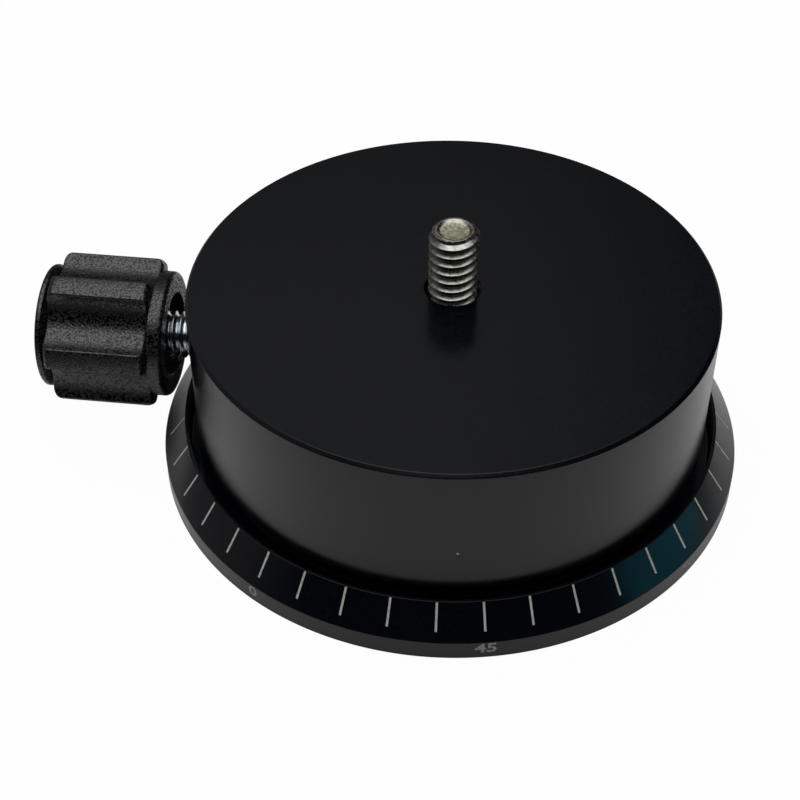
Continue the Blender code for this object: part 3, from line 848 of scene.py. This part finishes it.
class RotatorBuildBase(bpy.types.Operator):
    """Build the graduated dish with its scale"""

    bl_idname = "rotator.build_base"
    bl_label = "Graduated Base"

    def execute(self, context):
        """Dish, its holes, ticks and numbers."""
        sizes = context.scene.rotator_base
        grid = turned(base_profile(sizes), columns(ROUND_COLUMNS))
        points, faces = skin(grid, rows_meet=True)
        dish = linked("dish", mesh_of("dish", upright(points), faces))
        drill(dish, SCREW_HOLE, BASE_SCREWS, SCREW_CIRCLE, SCREW_TURN)
        drill(dish, GRUB_HOLE, 1, BUSH_FLANGE, GRUB_TURN)
        settle(dish, "base", "black_anodised", ["graduated_base"])
        piece("scale_ticks", *tick_marks(sizes), "base", "scale_paint")
        piece("scale_numbers", *rim_numbers(sizes), "base", "number_paint")
        return {"FINISHED"}


class RotatorBuildFasteners(bpy.types.Operator):
    """Build the tripod bush and the fasteners under the base"""

    bl_idname = "rotator.build_fasteners"
    bl_label = "Tripod Bush and Screws"

    def execute(self, context):
        """Bush with a true thread inside, its grub screw, and the countersunk screws."""
        self.bush()
        self.grub_screw()
        self.screws()
        return {"FINISHED"}

    def bush(self):
        """Flanged bush. Inside, the wall is a nut's thread; outside, a rounded step."""
        angles = columns(THREAD_COLUMNS)
        count = int((bush_top - bush_bottom) / BUSH_PITCH * ROWS_PER_PITCH)
        heights = np.linspace(bush_top, bush_bottom, count)[:, None]
        inner = thread_radius(BUSH_THREAD, BUSH_PITCH, heights, angles, inside=True)
        mouth = np.minimum(bush_top - heights, heights - bush_bottom)
        flare, face = BUSH_THREAD + in_mm(0.1, 0.4)
        inner = np.maximum(inner, flare - mouth)
        outer = rounded(
            [(face, bush_bottom), (BUSH_FLANGE, bush_bottom), (BUSH_FLANGE, FLANGE_HEIGHT),
             (BUSH_BODY, FLANGE_HEIGHT), (BUSH_BODY, bush_top), (face, bush_top)],
            in_mm(0, 0.12, 0.12, 0.12, 0.12, 0))
        grid = np.concatenate([shaped(inner, heights, angles), turned(outer, angles)])
        points, faces = skin(grid, rows_meet=True)
        bush = linked("bush", mesh_of("bush", upright(points), faces))
        drill(bush, GRUB_HOLE, 1, BUSH_FLANGE, GRUB_TURN)
        settle(bush, "base", "stainless_steel", ["tripod_bush"])

    def grub_screw(self):
        """Small headless screw with a hexagon socket."""
        low, high = span("bush_grub_screw", 2)
        radius, flat = in_mm(1.5, 0.8)
        outline = rounded([(radius, low), (radius, high), (flat, high)], in_mm(0, 0.1, 0))
        points, faces = socket_screw(outline, corner=0.9 * MM, face=low, depth=1.0 * MM)
        points = upright(points + (0, BUSH_FLANGE, 0))
        piece("grub_screw", points, faces, "base", "black_oxide_steel", ["bush_grub_screw"])

    def screws(self):
        """Countersunk screws, one array turned to its places."""
        low = span("spindle_screw_1", 2)[0]
        outline = in_mm((2.8, 0), (2.8, 0.15), (1.5, 1.4), (1.5, 7.5), (0.8, 8.0)) + (0, low)
        outline = rounded(outline, in_mm(0, 0.06, 0.1, 0.1, 0))
        points, faces = socket_screw(outline, corner=1.15 * MM, face=low, depth=1.1 * MM)
        places = ringed(points, BASE_SCREWS, SCREW_CIRCLE, SCREW_TURN)
        for number, placed in enumerate(places, 1):
            piece(f"base_screw_{number}", placed, faces, "base", "black_oxide_steel",
                  [f"spindle_screw_{number}"])


def socket_screw(outline, corner, face, depth):
    """A round screw whose lower face has a hexagon socket: the socket's rings come first."""
    angles = columns(SCREW_COLUMNS)
    flat, edge = hexagon(corner, angles)[None], 0.06 * MM
    rows = [0.85 * flat, flat, flat, flat + edge]
    deep = [face + depth, face + depth, face + edge, face]
    socket = np.concatenate([shaped(r, z, angles) for r, z in zip(rows, deep)])
    grid = np.concatenate([socket, turned(outline, angles)])
    return skin(grid, poles=(face + depth, outline[-1, 1]))


class RotatorBuildDrum(bpy.types.Operator):
    """Build the drum that the camera stands on"""

    bl_idname = "rotator.build_drum"
    bl_label = "Drum"

    def execute(self, context):
        """Drum with its hollow, the lock screw's bore and the index dot."""
        sizes = context.scene.rotator_drum
        grid = turned(self.profile(sizes), columns(ROUND_COLUMNS))
        points, faces = skin(grid, poles=(STUD_HOLE_FLOOR, BOSS_BOTTOM))
        drum = linked("drum", mesh_of("drum", upright(points), faces))
        bore, edge = sizes.bore_radius, sizes.bore_edge
        flare = drum_radius - 0.15 * MM
        cut = np.array([
            (SHOE_HOLE, SHOE_HOLE_START), (SHOE_HOLE, SHOE_HOLE_END), (bore, SHOE_HOLE_END),
            (bore, flare - edge), (bore + edge, flare), (bore + edge, drum_radius + 2 * MM)])
        points, faces = skin(turned(cut, columns(THREAD_COLUMNS)), poles=cut[[0, -1], 1])
        carve(drum, laid(points), faces)
        settle(drum, "drum", "black_anodised", ["drum_housing"])
        piece("index_dot", *self.dot(sizes), "drum", "scale_paint")
        return {"FINISHED"}

    def profile(self, sizes):
        """The drum's section from the floor of the stud's hole to the underside of its boss.

        It runs over the top, down the wall and the skirt, up the retaining ring's seat and the
        cavity of the spindle's head and the bearing, and down the boss.
        """
        hole, flare, edge = sizes.stud_hole, sizes.stud_hole_edge, sizes.top_edge
        points = [
            (hole, STUD_HOLE_FLOOR), (hole, drum_top - flare), (hole + flare, drum_top),
            (drum_radius - edge, drum_top), (drum_radius, drum_top - edge),
            (drum_radius, sizes.wall_bottom), (sizes.skirt_radius, sizes.wall_bottom),
            (sizes.skirt_radius, skirt_bottom), (RING_SEAT, skirt_bottom), (RING_SEAT, RING_ROOF),
            (CAVITY_RADIUS, RING_ROOF), (CAVITY_RADIUS, CAVITY_ROOF), (BOSS_RADIUS, CAVITY_ROOF),
            (BOSS_RADIUS, BOSS_BOTTOM),
        ]
        radii = in_mm(0, 0.05, 0.06, 0.07, 0.10, 0.2, 0.1, 0.15, 0.1, 0.1, 0.1, 0.2, 0.2, 0)
        return rounded(points, radii)

    def dot(self, sizes):
        """A flat round of paint on the wall: point (a, b) lies at angle a / radius, height b.

        Its three rings lie below the wall, above it, and a little further in and up.
        """
        around = columns(24)
        shares = np.array([1.0, 1.0, 0.8])[:, None]
        proud = sizes.dot_rise * np.array([-2.0, 0.5, 1.0])[:, None]
        a = sizes.dot_radius * shares * np.cos(around)
        b = sizes.dot_radius * shares * np.sin(around)
        angle = sizes.dot_angle - math.pi / 2 + a / drum_radius
        radius = drum_radius + proud + 0 * a
        grid = np.stack([radius * np.cos(angle), radius * np.sin(angle), sizes.dot_height + b], -1)
        rows, cols = grid.shape[:2]
        faces = faces_of(rows, cols).tolist()
        faces += [list(range(cols))[::-1], list(range((rows - 1) * cols, rows * cols))]
        return upright(grid.reshape(-1, 3)), faces


class RotatorBuildStud(bpy.types.Operator):
    """Build the threaded stud for the camera"""

    bl_idname = "rotator.build_stud"
    bl_label = "Camera Stud"

    def execute(self, context):
        """Socket, thread, tip and cup as rows of one grid.

        The thread's radius is held under cones that widen away from both ends. The cup's floor
        is a parabola: it sinks with 1 less the square of its share of the rim's radius.
        """
        sizes = context.scene.rotator_stud
        angles = columns(THREAD_COLUMNS)
        count = int((stud_top - stud_bottom) / sizes.pitch * ROWS_PER_PITCH)
        heights = np.linspace(stud_bottom, stud_top, count)[:, None]
        crest = stud_radius * sizes.crest_share
        radius = thread_radius(
            crest, sizes.pitch, heights, angles, sizes.start, crest=sizes.crest_flat,
            soften=0.05, deep=sizes.thread_deep)
        radius = np.minimum(radius, sizes.tip_radius + sizes.tip_slope * (stud_top - heights))
        radius = np.minimum(radius, sizes.tip_radius + (heights - stud_bottom))
        corner, depth, edge = in_mm(1.8, 2.5, 0.08)
        flat, socket_top = hexagon(corner, angles)[None], stud_bottom + depth
        socket = [shaped(r, z, angles) for r, z in (
            (0.8 * flat, socket_top), (flat, socket_top), (flat, stud_bottom + edge),
            (flat + edge, stud_bottom))]
        tip, rim, floor = sizes.tip_radius, sizes.cup_rim, stud_top - sizes.cup_edge
        lip = rounded(
            [(tip, stud_top - 0.12 * MM), (tip, stud_top), (tip - sizes.lip_width, stud_top),
             (rim, floor)], in_mm(0, 0.1, 0.08, 0))
        nearly_middle, rings = 0.01, 14
        share = np.linspace(1, nearly_middle, rings)[1:]
        dish = (sizes.cup_depth - sizes.cup_edge) * (1 - share ** 2)
        end = np.concatenate([lip, np.stack([rim * share, floor - dish], -1)])
        grid = np.concatenate([*socket, shaped(radius, heights, angles)[:-1], turned(end, angles)])
        points, faces = skin(grid, poles=(socket_top, end[-1, 1]))
        piece("stud", upright(points), faces, "drum", "stainless_steel", ["camera_stud"],
              SHARP_THREAD)
        return {"FINISHED"}


def lobe_outline(sizes, ridge, flute):
    """Outline of the grip for each row: arrays of radius and angle.

    The land is a circle about the axis, and a flute is a circle about a point outside. The
    edge between them is a small circle that touches both from inside the grip: its centre is
    ridge - edge away from the axis and arc + edge away from the flute's centre, which gives its
    place by the law of cosines. Half a lobe is land, edge and flute, and the rest mirrors it.
    Points are complex numbers here, so a turn is a product.
    """
    sector = TAU / sizes.ridges
    half = sector / 2 - sizes.ridge_width / 2 / sizes.ridge_radius
    ex, ey = sizes.ridge_radius * math.cos(half), sizes.ridge_radius * math.sin(half)
    centre = (ex ** 2 + ey ** 2 - sizes.flute_radius ** 2) / (2 * (ex - sizes.flute_radius))
    ridge, flute = ridge[:, None], flute[:, None]
    arc = centre - flute
    edge = sizes.ridge_round
    px = ((ridge - edge) ** 2 - (arc + edge) ** 2 + centre ** 2) / (2 * centre)
    py = np.sqrt((ridge - edge) ** 2 - px ** 2)
    lean = np.arctan2(py, px)
    land_steps, edge_steps, flute_steps = 6, 5, 14
    t_land, t_edge, t_flute = (
        np.linspace(0, 1, steps + 1)[None] for steps in (land_steps, edge_steps, flute_steps))
    land_angle = sector / 2 + (lean - sector / 2) * t_land
    land = ridge * np.exp(1j * land_angle)
    place = px + 1j * py
    to_flute = np.angle(centre - place)
    turn = lean + (to_flute - lean) * t_edge
    bend = place + edge * np.exp(1j * turn)
    begin = np.angle(place - centre)
    begin = np.where(begin < 0, begin + TAU, begin)
    hollow = centre + arc * np.exp(1j * (begin + (math.pi - begin) * t_flute))
    side = np.concatenate([land[:, :-1], bend[:, :-1], hollow], 1)
    lobe = np.concatenate([side, np.conj(side[:, ::-1])[:, 1:-1]], 1)
    turns = np.exp(-1j * sector * np.arange(sizes.ridges))
    whole = (lobe[:, None, :] * turns[None, :, None]).reshape(len(lobe), -1)
    whole = whole * np.exp(1j * (sizes.ridge_phase - sector / 2))
    return np.abs(whole), np.angle(whole)


class RotatorBuildKnob(bpy.types.Operator):
    """Build the lock knob: its grip and its cap"""

    bl_idname = "rotator.build_knob"
    bl_label = "Lock Knob"

    def execute(self, context):
        """Grip and cap."""
        self.grip(context.scene.rotator_knob)
        self.cap(context.scene.rotator_knob)
        return {"FINISHED"}

    def grip(self, sizes):
        """Rows: bore and recess, collar, the fluted length with rounded ends, and the pocket.

        The ridges' ends are quarter ellipses: with t from 0 to a right angle, they run along
        with the sine or cosine of t and rise with the other. The flutes' floor sinks to the
        neck on a quarter circle, cut just short of upright, and to the cap on a parabola.
        """
        face, depth = knob_face, sizes.recess_depth
        collar_end = face + sizes.collar_width
        inner = rounded(
            [(GRIP_BORE, face + depth), (sizes.recess_radius, face + depth),
             (sizes.recess_radius, face), (sizes.collar_radius, face),
             (sizes.collar_radius, collar_end), (sizes.flute_radius, collar_end)],
            in_mm(0, 0.2, 0.25, 0.6, 0.12, 0))
        round_in, round_out, edge = sizes.ridge_start, sizes.ridge_end, 0.15 * MM
        t = np.linspace(0, math.pi / 2, 9)
        straight = np.linspace(collar_end + round_in, grip_end - round_out, 12)[1:-1]
        along = np.concatenate([
            collar_end + round_in * (1 - np.cos(t)), straight,
            grip_end - round_out + round_out * np.sin(t)])
        ridge = np.concatenate([
            sizes.ridge_radius - round_in + round_in * np.sin(t), sizes.ridge_radius + 0 * straight,
            sizes.ridge_radius - sizes.ridge_drop * (1 - np.cos(t))])
        near = np.clip((along - collar_end) / sizes.neck_width, 0, 1)
        far = np.clip((along - grip_end + edge) / edge, 0, 1)
        just_short = 0.9999
        sink = sizes.neck_depth * (1 - np.sqrt(1 - (1 - near) ** 2 * just_short))
        radius, angles = lobe_outline(sizes, ridge, sizes.flute_radius - sink - edge * far ** 2)
        outer = shaped(radius, along[:, None], angles)
        angle = angles[len(along) // 2]
        gap, edge = in_mm(0.3, 0.1)
        pocket = hexagon(sizes.head_corner + gap, angle)[None]
        floor = screw_end - HEAD_LENGTH - gap
        back = [shaped(r, z, angle) for r, z in (
            (pocket + edge, grip_end), (pocket, grip_end - edge), (pocket, floor),
            (0 * pocket + GRIP_BORE, floor))]
        grid = np.concatenate([turned(inner, angle), outer, *back])
        points, faces = skin(grid, rows_meet=True)
        piece("grip", laid(points), faces, "knob", "black_plastic", ["knob_grip"])

    def cap(self, sizes):
        """Disc with a rounded rim, a shallow dished face and a plug."""
        back, plug_end = grip_end + 0.06 * MM, screw_end + 0.3 * MM
        middle, bevel, sunk = in_mm(0.02, 0.3, 0.2)
        plug, face = sizes.head_corner * math.cos(math.pi / 6), cap_radius - 1.1 * MM
        profile = rounded(
            [(middle, plug_end), (plug, plug_end), (plug, back), (sizes.flute_radius, back),
             (cap_radius, back + sizes.cap_cone), (cap_radius, knob_end), (face, knob_end),
             (face - bevel, knob_end - sunk), (middle, knob_end - sunk)],
            in_mm(0, 0.1, 0.1, 0.1, 0.3, 0.5, 0.12, 0.12, 0))
        grid = turned(profile, columns(ROUND_COLUMNS // 2))
        points, faces = skin(grid, poles=profile[[0, -1], 1])
        piece("cap", laid(points), faces, "knob", "black_plastic", ["knob_cap"])


class RotatorBuildLockScrew(bpy.types.Operator):
    """Build the lock screw"""

    bl_idname = "rotator.build_lock_screw"
    bl_label = "Lock Screw"

    def execute(self, context):
        """Thread, plain shank and hexagon head as rows of one grid.

        The thread starts in a cone and fades into the shank: its radius goes to the screw's
        evenly over the runout.
        """
        sizes = context.scene.rotator_knob
        angles = columns(THREAD_COLUMNS)
        thread_end = knob_face + 2.2 * MM
        count = int((thread_end - screw_tip) / sizes.screw_pitch * ROWS_PER_PITCH)
        along = np.linspace(screw_tip, thread_end, count)[:, None]
        radius = thread_radius(
            sizes.screw_radius, sizes.screw_pitch, along, angles, sizes.screw_start)
        point, runout, round_end, chamfer = in_mm(2.3, 1.0, 5.3, 0.4)
        radius = np.minimum(radius, point + (along - screw_tip))
        fade = np.clip((along - (thread_end - runout)) / runout, 0, 1)
        radius = radius + (sizes.screw_radius - radius) * fade
        head = screw_end - HEAD_LENGTH
        corner = hexagon(sizes.head_corner, angles)[None]
        rows = [shaped(r, z, angles) for r, z in (
            (0 * corner + sizes.screw_radius, head), (corner, head),
            (corner, screw_end - chamfer), (np.minimum(corner, round_end), screw_end))]
        grid = np.concatenate([shaped(radius, along, angles), *rows])
        points, faces = skin(grid, poles=(screw_tip, screw_end))
        piece("lock_screw", laid(points), faces, "knob", "zinc_plate", ["knob_screw"],
              SHARP_THREAD)
        return {"FINISHED"}


class RotatorDressInside(bpy.types.Operator):
    """Give the pieces inside the drum their finishes"""

    bl_idname = "rotator.dress_inside"
    bl_label = "Inner Pieces"

    def execute(self, context):
        """Each carried-over node gets the finish of its slot in the record."""
        for name, node in frame["nodes"].items():
            if node.hide_render:
                continue
            finish = finish_named(slots[name])
            for number in range(len(node.material_slots)):
                node.material_slots[number].material = finish
            if not node.material_slots:
                node.data.materials.append(finish)
        return {"FINISHED"}


# The stage


def empty_tree(holder):
    """The node tree of a material or world, emptied."""
    holder.use_nodes = True
    holder.node_tree.nodes.clear()
    return holder.node_tree


def floor_finish(settings):
    """White floor: seen by the camera as white less a share of the object's shadow.

    In reflections it is white around the object and falls off to the dim room beyond: a pool of light
    painted into its colour.
    """
    material = bpy.data.materials.new("floor")
    tree = empty_tree(material)
    out = add_node(tree, "ShaderNodeOutputMaterial")
    ray = add_node(tree, "ShaderNodeLightPath")
    place = add_node(tree, "ShaderNodeTexCoord").outputs["Object"]
    links = {0: place, 1: (axis_x, 0, 0)}
    away = add_node(tree, "ShaderNodeVectorMath", links, operation="DISTANCE").outputs["Value"]
    # Painted light: the colour is pale near the object and dark far off, in the place of a pool of
    # light
    near = remap(tree, away, settings.floor_end, settings.floor_start)
    plain = maths(tree, "MAXIMUM", near, ray.outputs["Is Camera Ray"])
    pale = mixed(tree, plain, FLOOR_FAR, FLOOR_NEAR)
    lit = add_node(tree, "ShaderNodeBsdfDiffuse", {"Color": pale})
    white = add_node(tree, "ShaderNodeEmission", {"Color": (*WHITE, 1), "Strength": 1.0})
    seen = maths(tree, "MULTIPLY", ray.outputs["Is Camera Ray"], 1 - settings.floor_shade)
    mix = add_node(tree, "ShaderNodeMixShader", {0: seen, 1: lit.outputs[0], 2: white.outputs[0]})
    tree.links.new(mix.outputs[0], out.inputs["Surface"])
    return material


def panel(tree, direction, azimuth, elevation, reach, soft):
    """A round light in the room: 1 within reach of its middle, falling to 0 over soft more.

    All angles are in degrees, the azimuth is counted from +Y towards +X, and the fall is
    smooth in the cosine of the angle to the middle.
    """
    a, e = math.radians(azimuth), math.radians(elevation)
    middle = (math.cos(e) * math.sin(a), math.cos(e) * math.cos(a), math.sin(e))
    links = {0: direction, 1: middle}
    near = add_node(tree, "ShaderNodeVectorMath", links, operation="DOT_PRODUCT").outputs["Value"]
    outer, inner = (math.cos(math.radians(angle)) for angle in (reach + soft, reach))
    return remap(tree, near, outer, inner)


def room(tree, settings):
    """The level of the room's light in each direction.

    The walls are dim, paler at the left than at the right, dark at the camera's side, and
    darker low down except far at the left. Each change runs from one value of the direction's
    part along X, Y or Z to another. A wide soft light hangs overhead, a little towards the
    camera.
    """
    direction = add_node(tree, "ShaderNodeTexCoord").outputs["Generated"]
    axes = add_node(tree, "ShaderNodeSeparateXYZ", {0: direction})
    x, y, z = (axes.outputs[number] for number in range(3))
    sides = remap(tree, x, 0.15, -0.05, settings.room_right, settings.room_left)
    walls = maths(tree, "MULTIPLY", sides, remap(tree, y, -0.75, -0.25))
    high, beside = remap(tree, z, 0.5, 0.66, 0.2, 1.0), remap(tree, x, -0.45, -0.85, 0.0, 0.7)
    walls = maths(tree, "MULTIPLY", walls, maths(tree, "MAXIMUM", high, beside))
    overhead = panel(tree, direction, azimuth=180, elevation=86, reach=24, soft=19)
    return maths(tree, "MULTIPLY_ADD", overhead, settings.overhead, walls)


def studio_world(settings):
    """White to the camera and through clear things, and the room to all else."""
    world = bpy.data.worlds.new("studio")
    tree = empty_tree(world)
    out = add_node(tree, "ShaderNodeOutputWorld")
    ray = add_node(tree, "ShaderNodeLightPath")
    plain = maths(tree, "MAXIMUM", ray.outputs["Is Camera Ray"], ray.outputs["Is Transmission Ray"])
    colour = mixed(tree, plain, room(tree, settings), WHITE)
    glow = add_node(tree, "ShaderNodeBackground", {"Color": colour, "Strength": 1.0})
    tree.links.new(glow.outputs[0], out.inputs["Surface"])
    return world


class RotatorBuildStage(bpy.types.Operator):
    """Build the floor, the light and the camera"""

    bl_idname = "rotator.build_stage"
    bl_label = "Stage"

    def execute(self, context):
        """White floor, soft light and the photograph's view."""
        settings = context.scene.rotator_stage
        self.floor(settings)
        context.scene.world = studio_world(settings)
        self.lamp(settings)
        self.camera(settings)
        context.scene.view_settings.view_transform = "Standard"
        return {"FINISHED"}

    def floor(self, settings):
        """A large square a hair under the object."""
        half, level = 3.0, -0.05 * MM
        corners = [(x * half, y * half, level) for x, y in ((-1, -1), (1, -1), (1, 1), (-1, 1))]
        mesh = bpy.data.meshes.new("floor")
        mesh.from_pydata(corners, [], [(0, 1, 2, 3)])
        mesh.materials.append(floor_finish(settings))
        floor = linked("floor", mesh)

    def lamp(self, settings):
        """A small cool upright lamp below the drum's top, seen only where gloss mirrors it.

        Its energy is its level times pi times its area.
        """
        data = bpy.data.lights.new("glimmer", "AREA")
        data.shape = "RECTANGLE"
        data.size = settings.glimmer_width
        data.size_y = settings.glimmer_height
        data.color = GLIMMER_COLOUR
        data.energy = settings.glimmer * math.pi * data.size * data.size_y
        lamp = linked("glimmer", data)
        lamp.location = settings.glimmer_place
        lamp.rotation_euler = (math.radians(90), 0, math.radians(90))
        lamp.visible_camera = False
        lamp.visible_diffuse = False

    def camera(self, settings):
        """The camera at the photograph's angle."""
        data = bpy.data.cameras.new("camera")
        data.lens = settings.lens
        data.sensor_width = 36
        data.clip_start = 10 * MM
        camera = linked("camera", data)
        place, aim = Vector(settings.camera_place), Vector(settings.camera_aim)
        camera.location = place
        camera.rotation_mode = "QUATERNION"
        camera.rotation_quaternion = (aim - place).to_track_quat("-Z", "Y")
        bpy.context.scene.camera = camera


OPERATORS = (
    RotatorBuildBase, RotatorBuildFasteners, RotatorBuildDrum, RotatorBuildStud,
    RotatorBuildKnob, RotatorBuildLockScrew, RotatorDressInside, RotatorBuildStage,
)


class VIEW3D_PT_rotator(bpy.types.Panel):
    """Buttons that build the rotator, and its sizes"""

    bl_label = "Panoramic Rotator"
    bl_space_type = "VIEW_3D"
    bl_region_type = "UI"
    bl_category = "Rotator"

    def draw(self, context):
        """One button for each operator, then the settings."""
        for operator in OPERATORS:
            self.layout.operator(operator.bl_idname)
        for group, settings in SETTINGS.items():
            box = self.layout.box()
            box.label(text=settings.__doc__)
            for key in settings.__annotations__:
                box.prop(getattr(context.scene, group), key)


def register():
    """Register every class and attach the settings to the scene."""
    for group, settings in SETTINGS.items():
        bpy.utils.register_class(settings)
        setattr(bpy.types.Scene, group, bpy.props.PointerProperty(type=settings))
    for cls in (*OPERATORS, VIEW3D_PT_rotator):
        bpy.utils.register_class(cls)


def unregister():
    """Undo register."""
    for cls in (VIEW3D_PT_rotator, *reversed(OPERATORS)):
        bpy.utils.unregister_class(cls)
    for group, settings in SETTINGS.items():
        delattr(bpy.types.Scene, group)
        bpy.utils.unregister_class(settings)


def main():
    """Build everything in order."""
    register()
    for operator in OPERATORS:
        family, name = operator.bl_idname.split(".")
        getattr(getattr(bpy.ops, family), name)()


if __name__ == "__main__":
    main()
